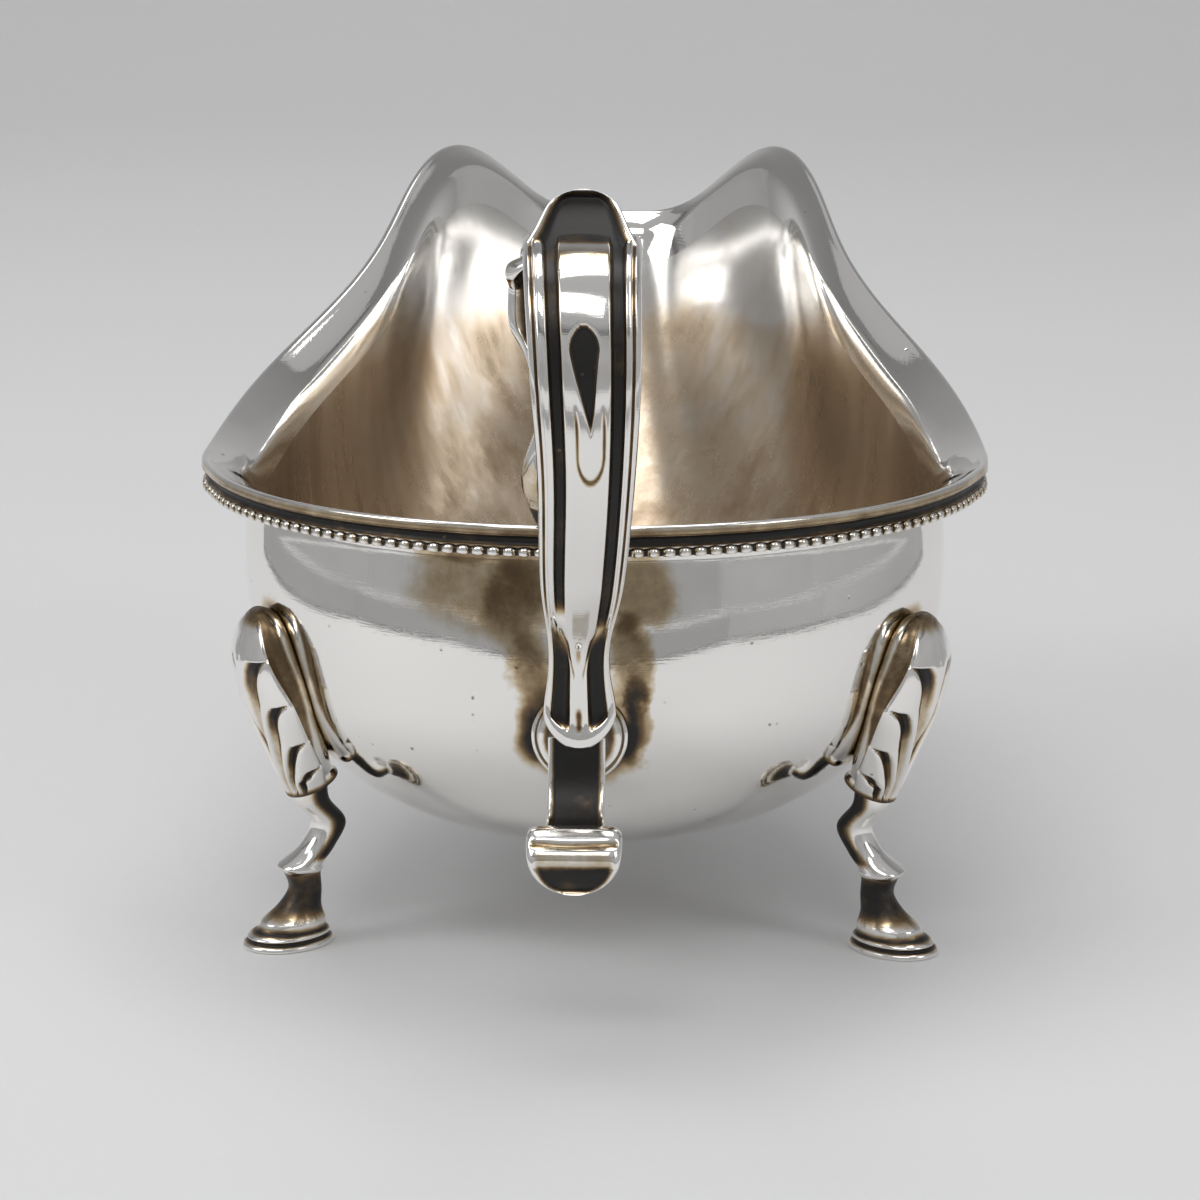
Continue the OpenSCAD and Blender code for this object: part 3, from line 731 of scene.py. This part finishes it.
def rollFace(w, s, isOut, line):   # bright crest, dark line, stained band, dished end
    aw = np.abs(w)
    half = 0.5 * line[:, 3:4]
    edge = (1 - aw ** 7) ** 0.45
    inside = 1 - ramp(0.74, 0.93, aw)
    crease = hump(s + 0.02 * aw ** 2, 0.285, 0.045) * (1 - ramp(0.85, 0.97, aw))
    dish = inside * ramp(0.38, 0.48, s) * (1 - ramp(0.93, 0.985, s))
    outer = -half * edge + (0.5 * dish + 0.22 * crease) * edge
    stain = np.maximum.reduce([
        0.6 * crease, dish * (0.5 + 0.5 * ramp(0.42, 0.55, s)),
        0.3 * inside * ramp(0.3, 0.36, s) + 0 * w, 0.8 * (1 - ramp(0.06, 0.12, s)) + 0 * w])
    recess = np.clip(np.where(isOut, stain, 0.55), 0, 1)
    return np.where(isOut, outer, half * edge), 0 * w * s, recess


def makeRoll():
    low, x = handle["bossZ"] - 0.9 * handle["tailDrop"], -handle["bossShift"]
    w, tall = handle["rollWidth"], handle["rollHeight"]
    stations = [
        [endY - 3.4, low - 0.6, w * 0.94, 1.8, x],
        [endY - 5.2, low, w, 2.0, x],
        [endY - 6.7, low - 0.24 * tall, w * 0.99, 1.9, x],
        [endY - 7.0, low - 0.44 * tall, w * 0.93, 1.8, x],
        [endY - 6.9, low - 0.63 * tall, w * 0.77, 1.6, x],
        [endY - 6.6, low - 0.78 * tall, w * 0.52, 1.3, x],
        [endY - 6.3, low - 0.87 * tall, w * 0.24, 1.0, x]]
    rings, recess = barRings(smoothLine(stations, 14), rollFace, 71, 21)
    ringPiece("tailRoll", rings, recess, "tail_roll", castSilver)


makeRoll()
print("handle made")


# feet

foot = {
    "rearAngle": 28.0, "splay": 2.5, "kneeZ": 16.0,
    "shellLength": 18.5, "shellWidth": 12.4, "shellDepth": 7.8,
    "legThickness": 3.4, "hoofWidth": 6.8, "hoofLength": 9.4, "soleHeight": 1.1,
}
shellRelief = {
    "around": 288, "rows": 150, "lobeDepth": 0.2, "lineHalf": 4.2,
    # each line between two lobes: angle low down, angle higher up,
    # height where it meets the margin, length of its bend there
    "lines": [(-3, 24, 0.82, 0.17), (19, 38, 0.58, 0.15), (35, 50, 0.33, 0.13), (56, 66, 0.145, 0.08)],
    "marginUp": (0, 0.12, 0.31, 0.56, 0.8, 0.92, 1.0), "marginAngle": (108, 104, 88, 76, 61, 56, 54),
}
rearP = math.pi - math.atan2(math.cos(math.radians(foot["rearAngle"])) / wall["swellHalfWidth"],
                             math.sin(math.radians(foot["rearAngle"])) / wall["swellRear"])


def legDistance(p):
    return wallDistance(p, foot["kneeZ"] + 1.5) + 0.95 * foot["legThickness"]


def shellLean(p):
    low = foot["kneeZ"] + 0.15 * foot["shellLength"]
    high = foot["kneeZ"] + 0.8 * foot["shellLength"]
    return math.atan2(wallDistance(p, high) - wallDistance(p, low), high - low)


def toFoot(rings, turn, distance):     # from the foot's own place, radius along y, to the bowl
    c, s = math.cos(turn), math.sin(turn)
    x, y, z = rings[..., 0], rings[..., 1] + distance, rings[..., 2]
    return np.stack([c * x - s * y, s * x + c * y, z], -1)


def shellRings(lean):
    length, wide, deep = foot["shellLength"], foot["shellWidth"], foot["shellDepth"]
    stations = [
        [-0.2, 0.0, wide * 0.44, deep * 0.70],
        [-0.4, length * 0.12, wide * 0.60, deep * 0.78],
        [-0.9, length * 0.34, wide * 0.82, deep * 0.88],
        [-1.5, length * 0.58, wide, deep],
        [-1.9, length * 0.80, wide * 0.90, deep * 0.85],
        [-2.4, length * 0.94, wide * 0.60, deep * 0.50],
        [-2.5, length, wide * 0.24, deep * 0.20]]
    line = smoothLine(stations, shellRelief["rows"] // 6)
    up = (line[:, 1:2] - line[0, 1]) / length
    a = np.linspace(-math.pi, math.pi, shellRelief["around"], endpoint=False)[None, :]   # 0 looks outwards
    aa = np.abs(np.degrees(a))
    # lobes rise from the leg and bend over to the margin, one above the other
    margin = np.interp(up, shellRelief["marginUp"], shellRelief["marginAngle"])
    blank = 0 * aa + 0 * up
    seam, start, stop, headUp = blank, blank - 14, blank + margin, blank + 0.95
    for low, high, meets, bend in shellRelief["lines"]:
        edgeAngle = np.interp(meets, shellRelief["marginUp"], shellRelief["marginAngle"])
        t = np.clip((up - meets + bend) / bend, 0, 1)
        curl = (edgeAngle - high) * (1 - np.sqrt(1 - t ** 2))
        place = low + (high - low) * ramp(0.08, meets - 0.5 * bend, up) + curl
        shown = up < meets
        seam = np.maximum(seam, hump(aa, place, shellRelief["lineHalf"]) * shown)
        start = np.where(shown & (aa >= place), place, start)
        below = shown & (aa < place) & (place < stop)
        stop = np.where(below, place, stop)
        headUp = np.where(below, meets, headUp)
    across = np.clip((aa - start) / np.maximum(stop - start, 1), 0, 1)
    onLobe = 1 - ramp(-3, 1, aa - margin)
    headShade = 1 - ramp(0.0, 0.30, headUp - up)        # 1 beside the bend of the line below the head, where the lobe's hollow gets painted shade
    rib = np.sqrt(np.clip(1 - (1 - np.clip(across / 0.34, 0, 1)) ** 2, 0, 1))
    hollow = ramp(0.4, 0.72, across) * (headUp < 0.94)
    closing = np.sqrt(np.clip(1 - (np.clip((across - 0.8) / 0.2, 0, 1)) ** 2, 0, 1))
    lobe = rib * (1 - 0.62 * hollow) * mix(1, closing, 0.8) * (1 - 0.5 * seam) * onLobe
    top = 1 - ramp(0.93, 0.99, up)
    lobe = lobe * top
    foots = ramp(0.0, 0.05, up)
    scale = 1 - shellRelief["lobeDepth"] * (1 - lobe) * foots * (1 - 0.35 * ramp(0.75, 1.0, up))
    x = 0.5 * line[:, 2:3] * np.sin(a) * scale
    y = line[:, 0:1] + 0.5 * line[:, 3:4] * np.cos(a) * scale
    z = foot["kneeZ"] + line[:, 1:2] + 0 * a
    rings = np.stack([x, y, z], -1)
    c, sn = math.cos(lean), math.sin(lean)
    local = rings - np.array([0, 0, foot["kneeZ"]])
    leaned = np.stack([local[..., 0], local[..., 1] * c + local[..., 2] * sn,
                       -local[..., 1] * sn + local[..., 2] * c + foot["kneeZ"]], -1)
    # the dark hollow on each lobe is partly tarnish and partly painted shade, darkest in the crescent below
    # each lobe's head
    recess = np.maximum.reduce([
        0.95 * seam * onLobe, hollow * onLobe * (0.38 + 0.62 * headShade) * (across < 0.97),
        0.66 * (1 - onLobe) * (1 - ramp(90, 104, aa)), 0.62 * (1 - top) + blank, 0.8 * (1 - foots) + blank])
    return leaned, np.clip(recess, 0, 1)


def legRings():
    t, splay, knee, sole = foot["legThickness"], foot["splay"], foot["kneeZ"], foot["soleHeight"]
    hw, hl = foot["hoofWidth"], foot["hoofLength"]
    stations = [               # y, z, width, length, stain
        [0, knee + 1, t, t, 0.8],
        [0, knee - 1.5, t * 1.05, t * 1.05, 0.5],
        [-1.8, knee * 0.75, t, t, 0.42],
        [-0.6, knee * 0.6, t, t, 0.4],
        [splay * 0.45, knee * 0.505, t * 1.2, t * 1.26, 0.0],
        [splay * 0.46, knee * 0.475, t * 1.21, t * 1.28, 0.0],
        [splay * 0.40, knee * 0.44, t * 1.0, t * 1.04, 0.75],
        [splay * 0.3, knee * 0.34, t * 0.92, t * 0.95, 0.85],
        [splay * 0.55, knee * 0.235, t * 1.14, t * 1.28, 0.8],
        [splay * 0.78, knee * 0.165, hw * 0.74, hl * 0.66, 0.25],
        [splay * 0.82, knee * 0.150, hw * 0.78, hl * 0.70, 0.0],
        [splay * 0.88, sole + 0.75, hw * 0.78, hl * 0.73, 0.6],
        [splay * 0.92, sole + 0.45, hw * 0.80, hl * 0.76, 0.95],
        [splay * 0.96, sole + 0.22, hw * 0.88, hl * 0.86, 0.25],
        [splay, sole - 0.02, hw * 0.90, hl * 0.90, 0.0],
        [splay, sole - 0.25, hw * 0.86, hl * 0.86, 0.85],
        [splay, sole - 0.45, hw * 0.88, hl * 0.88, 0.95],
        [splay, sole - 0.62, hw * 0.97, hl * 0.97, 0.15],
        [splay, 0.22, hw, hl, 0.0],
        [splay, 0.05, hw * 0.985, hl * 0.985, 0.1],
        [splay, 0.0, hw * 0.93, hl * 0.95, 0.4]]
    line = smoothLine(stations, 8)
    line[:, 1] = np.maximum(line[:, 1], 0)
    a = roundAngles(72)[None, :]
    power = mix(1.0, 0.88, ramp(0.5, 0.3, np.linspace(0, 1, len(line))))[:, None]
    c = np.sign(np.cos(a)) * np.abs(np.cos(a)) ** power
    s = np.sign(np.sin(a)) * np.abs(np.sin(a)) ** power
    hoofShape = 1 + 0.12 * np.sin(a) * ramp(0.55, 0.7, np.linspace(0, 1, len(line)))[:, None]
    x = 0.5 * line[:, 2:3] * c * hoofShape
    y = line[:, 0:1] + 0.5 * line[:, 3:4] * s
    z = line[:, 1:2] + 0 * a
    shin = ramp(knee * 0.5, knee * 0.57, line[:, 1:2]) * (1 - ramp(knee * 0.98, knee * 1.06, line[:, 1:2]))
    hollow = 0.95 * (1 - ramp(-0.3, 0.5, np.sin(a))) * shin      # dark on the side towards the bowl
    recess = np.clip(np.maximum(line[:, 4:5] * (1 - 0.7 * shin) + 0 * a, hollow), 0, 1)
    return np.stack([x, y, z], -1), recess


def makeFoot(side, turn, p):
    far = legDistance(p)
    rings, recess = shellRings(shellLean(p))
    rings, gaps = settleOnWall(toFoot(rings, turn, far))
    recess = np.clip(np.maximum(recess, 0.8 - ramp(0.0, 0.4, gaps)), 0, 1)
    contactPoints.extend(rings[(gaps < 0.5) & (gaps > -0.4)][::4])
    ringPiece(side + "Shell", rings, recess, nodeOf[side] + "_shell", castSilver)
    rings, recess = legRings()
    ringPiece(side + "Leg", toFoot(rings, turn, far), recess, nodeOf[side] + "_leg", castSilver)


nodeOf = {"rearLeft": "rear_left", "rearRight": "rear_right", "front": "front"}
rearTurn = math.radians(90 + foot["rearAngle"])
makeFoot("rearLeft", rearTurn, rearP)
makeFoot("rearRight", -rearTurn, rearP)
makeFoot("front", 0.0, 0.0)
print("feet made")


# the bowl comes after what is soldered to it, for the tarnish round the joins

def makeBowl():
    near = KDTree(len(contactPoints))
    for k, point in enumerate(contactPoints):
        near.insert(Vector(point), k)
    near.balance()
    recess = np.zeros(rings.shape[:2])
    flat = outside.reshape(-1, 3)
    gaps = np.array([near.find(Vector(v))[2] for v in flat]).reshape(outside.shape[:2])
    recess[:len(outside)] = 0.66 * np.exp(-(gaps / bowlDetail["contactReach"]) ** 1.6)
    lip = slice(len(outside) - 3, len(outside) + 4)    # a little grime round the rolled edge
    recess[lip] = np.maximum(recess[lip], np.array(bowlDetail["lipGrime"])[:, None])
    mesh = ringMesh("raisedBowl", rings, recess, ends=poles, materialOfRow=rowKinds)
    finishPiece("raisedBowl", mesh, ["bowl"], [outerSilver, innerSilver])


makeBowl()
print("bowl made")


# border: plain cove, then a wire of beads, under the edge of the flange

border = {
    "around": 480, "out": -0.3, "coveHeight": 1.1, "coveDepth": 1.5, "wireRadius": 0.36,
    "beadHeight": 0.95, "beadDepth": 1.15, "depthShare": 0.82, "beadPitch": 1.45, "beadLength": 1.3,
}
coveTop = -wall["sheet"] - 0.05
coveBottom = coveTop - border["coveHeight"]


def makeCove():
    q = roundAngles(border["around"])
    h = border["coveHeight"]
    profile = [                # out from the rim, up, stain
        (-0.22, -0.86, 0.2), (-0.34, coveTop - 0.05, 0.7), (-0.62, coveTop - 0.2 * h, 0.95),
        (-0.80, coveTop - 0.45 * h, 1.0), (-0.74, coveTop - 0.72 * h, 0.95), (-0.52, coveTop - 0.92 * h, 0.7),
        (-0.42, coveBottom + 0.02, 0.5), (-0.5, coveBottom, 0.8),
        (border["out"] - border["coveDepth"], coveBottom, 0.9)]
    rows = [byRim(q, out, up) for out, up, _ in profile] + [wallPoint(np.full(len(q), 1.75), q)]
    marks = np.array([m for _, _, m in profile] + [0.8])[:, None]
    ringPiece("coveMoulding", np.stack(rows), marks, "cove_moulding", borderSilver, loop=True)


makeCove()


def rimCurve():                # closed path through the middle of the beads
    q = roundAngles(border["around"])
    out = border["out"] + 0.2 - border["beadDepth"] * 0.42
    path = byRim(q, out, coveBottom - border["beadHeight"] / 2)
    length = np.linalg.norm(np.roll(path, -1, 0) - path, axis=1).sum()
    data = bpy.data.curves.new("beadPath", "CURVE")
    data.dimensions = "3D"
    line = data.splines.new("POLY")
    line.points.add(len(path) - 1)
    placed = np.stack([path[:, 0], path[:, 1] + shiftY, path[:, 2]], -1) * mm
    line.points.foreach_set("co", np.concatenate([placed, np.ones((len(path), 1))], 1).ravel())
    line.use_cyclic_u = True
    holder = bpy.data.objects.new("beadPath", data)
    link(holder)
    return holder, round(length / border["beadPitch"])


def beadTree():
    tree = bpy.data.node_groups.new("beadedWire", "GeometryNodeTree")
    face = tree.interface
    face.new_socket("Geometry", in_out="INPUT", socket_type="NodeSocketGeometry")
    for name, kind in (("Bead Count", "Int"), ("Bead Length", "Float"), ("Bead Depth", "Float"),
                       ("Bead Height", "Float"), ("Wire Radius", "Float"), ("Silver", "Material")):
        face.new_socket(name, in_out="INPUT", socket_type="NodeSocket" + kind)
    face.new_socket("Geometry", in_out="OUTPUT", socket_type="NodeSocketGeometry")
    given, end = tree.nodes.new("NodeGroupInput").outputs, tree.nodes.new("NodeGroupOutput")

    def put(kind, settings=None, **links):
        made = tree.nodes.new(kind)
        for key, value in (settings or {}).items():
            setattr(made, key, value)
        for key, value in links.items():
            socket = made.inputs[int(key[2:]) if key.startswith("in") else key.replace("_", " ")]
            if isinstance(value, bpy.types.NodeSocket):
                tree.links.new(value, socket)
            else:
                socket.default_value = value
        return made

    points = put("GeometryNodeCurveToPoints", {"mode": "COUNT"}, Curve=given["Geometry"],
                 Count=given["Bead Count"])
    size = put("ShaderNodeCombineXYZ", X=given["Bead Height"], Y=given["Bead Depth"], Z=given["Bead Length"])
    cube = put("GeometryNodeMeshCube", Size=size.outputs[0])
    soft = put("GeometryNodeSubdivisionSurface", Mesh=cube.outputs["Mesh"], Level=1, Edge_Crease=0.62)
    shaded = put("GeometryNodeSetShadeSmooth", Geometry=soft.outputs[0])
    place = put("GeometryNodeInputPosition")
    parts = put("ShaderNodeSeparateXYZ", Vector=place.outputs[0])
    off = put("ShaderNodeMath", {"operation": "ABSOLUTE"}, in0=parts.outputs["Z"])
    share = put("ShaderNodeMath", {"operation": "DIVIDE"}, in0=off.outputs[0], in1=given["Bead Length"])
    grimeAndShade = put("ShaderNodeMapRange", Value=share.outputs[0], in1=0.32, in2=0.5, in3=0.0, in4=0.9)
    marked = put("GeometryNodeStoreNamedAttribute", {"data_type": "FLOAT", "domain": "POINT"},
                 Geometry=shaded.outputs[0], Name="recess", Value=grimeAndShade.outputs[0])
    beads = put("GeometryNodeInstanceOnPoints", Points=points.outputs["Points"], Instance=marked.outputs[0],
                Rotation=points.outputs["Rotation"])
    ring = put("GeometryNodeCurvePrimitiveCircle", {"mode": "RADIUS"}, Resolution=10,
               Radius=given["Wire Radius"])
    wire = put("GeometryNodeCurveToMesh", Curve=given["Geometry"], Profile_Curve=ring.outputs["Curve"])
    wireMark = put("GeometryNodeStoreNamedAttribute", {"data_type": "FLOAT", "domain": "POINT"},
                   Geometry=wire.outputs[0], Name="recess", Value=1.0)
    both = put("GeometryNodeJoinGeometry")
    tree.links.new(wireMark.outputs[0], both.inputs[0])
    tree.links.new(beads.outputs[0], both.inputs[0])
    real = put("GeometryNodeRealizeInstances", Geometry=both.outputs[0])
    coated = put("GeometryNodeSetMaterial", Geometry=real.outputs[0], Material=given["Silver"])
    tree.links.new(coated.outputs[0], end.inputs[0])
    return tree


def makeBeads():
    holder, count = rimCurve()
    tree = beadTree()
    modifier = holder.modifiers.new("beads", "NODES")
    modifier.node_group = tree
    chosen = {"Bead Count": count, "Bead Length": border["beadLength"] * mm,
              "Bead Depth": border["beadDepth"] * border["depthShare"] * mm,
              "Bead Height": border["beadHeight"] * mm, "Wire Radius": border["wireRadius"] * mm,
              "Silver": borderSilver}
    for item in tree.interface.items_tree:
        if item.in_out == "INPUT" and item.name in chosen:
            modifier[item.identifier] = chosen[item.name]
    bpy.context.view_layer.update()
    mesh = bpy.data.meshes.new_from_object(holder.evaluated_get(bpy.context.evaluated_depsgraph_get()))
    mesh.name = "beadBorder"
    bpy.data.objects.remove(holder)
    mesh.shade_smooth()
    finishPiece("beadBorder", mesh, ["bead_border"], [])
    print("beads:", count, "faces:", len(mesh.polygons))


makeBeads()


# floor, light and camera

stageLook = {"near": -1.6, "far": 1.1, "half": 1.8, "bend": 0.5, "high": 1.6}
cards = {                      # grey strips round the floor, seen only in the silver: size, bottom, top, grey
    "nearCard": (1.0, 0.0016, 0.020, 0.54), "lowCard": (1.95, 0.0, 0.085, 0.54),
    # cardFootShadow is a near-black strip along the foot of the near card: a painted contact shadow where the
    # card meets the floor, seen only in the silver
    "tallCard": (3.6, 0.0, 0.30, 0.54), "cardFootShadow": (1.003, 0.0, 0.0016, 0.05),
}
cardPlan = [(-0.17, 0.12), (-0.16, -0.06), (-0.11, -0.14), (0.11, -0.14), (0.16, -0.06), (0.17, 0.12)]


def makeStage():
    far, bend, half = stageLook["far"], stageLook["bend"], stageLook["half"]
    turn = np.linspace(0, math.pi / 2, 24)
    rows = [(far - bend + bend * math.sin(a), bend * (1 - math.cos(a))) for a in turn]
    rows = [(stageLook["near"], 0.0)] + rows + [(far, stageLook["high"])]
    verts = [(x, y, z) for y, z in rows for x in (-half, half)]
    faces = [(2 * i, 2 * i + 1, 2 * i + 3, 2 * i + 2) for i in range(len(rows) - 1)]
    mesh = bpy.data.meshes.new("sweep")
    mesh.from_pydata(verts, [], faces)
    mesh.shade_smooth()
    b = Bench("paleSweep")
    grain = b.noise(b.place(), 900, 3, 0.5)
    colour = b.blend(grain, (0.735, 0.735, 0.74), (0.75, 0.75, 0.755))
    mesh.materials.append(b.set(Base_Color=colour, Roughness=0.75))
    sweep = bpy.data.objects.new("sweep", mesh)
    link(sweep)
    sweep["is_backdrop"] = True
    for name, (size, low, high, grey) in cards.items():
        mesh = bpy.data.meshes.new(name)
        mesh.from_pydata([(x * size, y * size, z) for z in (low, high) for x, y in cardPlan], [],
                         [(i, i + 1, i + 7, i + 6) for i in range(5)])
        b = Bench(name)
        shade = b.noise(b.place(), 7, 3, 0.5)
        colour = b.blend(shade, (grey * 0.75,) * 3, (grey * 1.2,) * 3)
        mesh.materials.append(b.set(Base_Color=colour, Roughness=0.8))
        card = bpy.data.objects.new(name, mesh)
        card.visible_camera = card.visible_shadow = card.visible_diffuse = False
        link(card)
        card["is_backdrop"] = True


makeStage()

lamps = {                      # place, aim, width, height, watts
    "leftBox": ((-0.62, -0.25, 0.42), (0, 0, 0.05), 0.35, 0.60, 1.5),
    "rightBox": ((0.60, -0.38, 0.40), (0, 0, 0.05), 0.22, 0.55, 0.8),
    "topBox": ((-0.05, 0.18, 0.95), (0, 0, 0.0), 0.70, 0.60, 3.3),
    "frontBox": ((-0.10, -0.62, 0.80), (0, 0, 0.02), 0.6, 0.25, 1.5),
}


def makeLamps():
    for name, (place, aim, wide, high, watts) in lamps.items():
        data = bpy.data.lights.new(name, "AREA")
        data.shape, data.size, data.size_y, data.energy = "RECTANGLE", wide, high, watts
        lamp = bpy.data.objects.new(name, data)
        lamp.location = place
        lamp.rotation_euler = (Vector(aim) - Vector(place)).to_track_quat("-Z", "Y").to_euler()
        lamp.visible_camera = False
        link(lamp)


makeLamps()

room = {                       # places from straight down to straight up, with their grey
    "stops": [(0.0, 0.30), (0.08, 0.42), (0.25, 0.62), (0.40, 0.50), (0.48, 0.22), (0.55, 0.75), (1.0, 0.9)],
    "strength": 0.48,
}


def makeWorld():               # room light: dark near the horizon, lighter above
    world = bpy.data.worlds.new("room")
    bpy.context.scene.world = world
    world.use_nodes = True
    nodes, links = world.node_tree.nodes, world.node_tree.links
    at = nodes.new("ShaderNodeTexCoord")
    parts = nodes.new("ShaderNodeSeparateXYZ")
    shades = nodes.new("ShaderNodeValToRGB")
    links.new(at.outputs["Generated"], parts.inputs[0])
    links.new(parts.outputs["Z"], shades.inputs["Fac"])
    links.new(shades.outputs["Color"], nodes["Background"].inputs["Color"])
    elements = shades.color_ramp.elements
    while len(elements) < len(room["stops"]):
        elements.new(0.5)
    for element, (place, grey) in zip(elements, room["stops"]):
        element.position, element.color = place, (grey, grey, grey * 1.01, 1)
    nodes["Background"].inputs["Strength"].default_value = room["strength"]


makeWorld()

view = {
    "distance": 0.400, "azimuth": 1.9, "elevation": 14.0, "targetZ": 0.031, "sideStep": 0.00045,
    "sensor": 36, "focal": 4000 / 1200,
}


def makeCamera():
    az, el = math.radians(view["azimuth"]), math.radians(view["elevation"])
    back = Vector((math.sin(az) * math.cos(el), -math.cos(az) * math.cos(el), math.sin(el)))
    target = Vector((view["sideStep"], shiftY * mm, view["targetZ"]))
    data = bpy.data.cameras.new("camera")
    data.sensor_fit = "HORIZONTAL"
    data.sensor_width = view["sensor"]
    data.lens = view["sensor"] * view["focal"]
    data.clip_start = 0.01
    camera = bpy.data.objects.new("camera", data)
    camera.location = target + view["distance"] * back
    camera.rotation_euler = back.to_track_quat("Z", "Y").to_euler()
    link(camera)
    bpy.context.scene.camera = camera


makeCamera()
bpy.context.scene.view_settings.view_transform = "Standard"
print("stage, lamps and camera made")

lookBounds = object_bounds()
for name, box in (("cad", cadBounds), ("look", lookBounds)):
    print(name, "box", [[round(c * 1000, 2) for c in v] for v in box])
